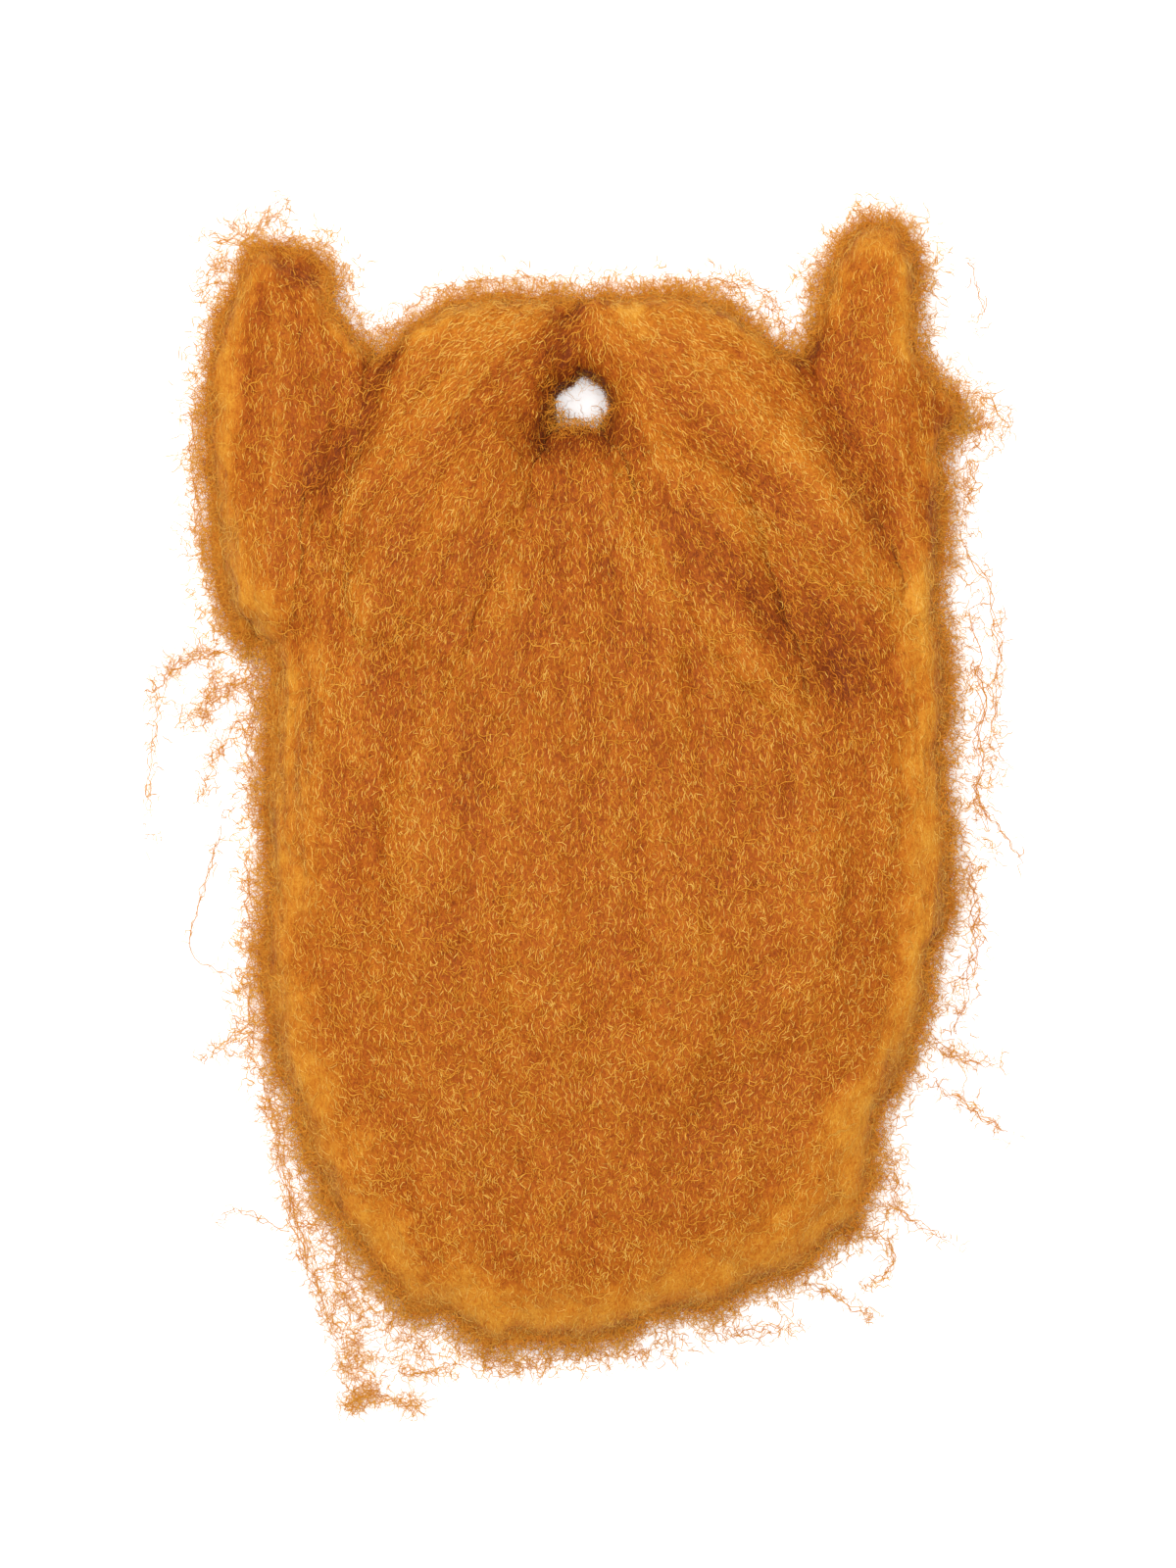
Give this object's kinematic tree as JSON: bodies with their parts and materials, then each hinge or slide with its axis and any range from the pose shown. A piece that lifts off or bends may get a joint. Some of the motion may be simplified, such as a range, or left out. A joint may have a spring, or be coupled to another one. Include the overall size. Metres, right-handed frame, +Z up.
{
  "type": "fake beard",
  "caption": "Full fake beard of teased crepe fibre with a parted moustache, a mouth opening and sideburns that reach up to the ears, laid flat on its back.",
  "frame": {"origin": "on the surface that the beard lies on, under the middle of its footprint's box", "axes": "+X to the right of someone who looks at the beard's face, +Y from the chin's tip to the ears, +Z up out of the beard's face"},
  "size_m": [0.2572, 0.3802, 0.0484],
  "materials": {
    "chin_fibre": "matte teased crepe fibre, ginger",
    "moustache_fibre": "matte teased crepe fibre, golden ginger",
    "sideburn_fibre": "matte teased crepe fibre, ginger"
  },
  "bodies": {
    "root": {"chin_beard": "chin_fibre", "moustache_left": "moustache_fibre", "moustache_right": "moustache_fibre", "sideburn_left": "sideburn_fibre", "sideburn_right": "sideburn_fibre"}
  },
  "joints": []
}
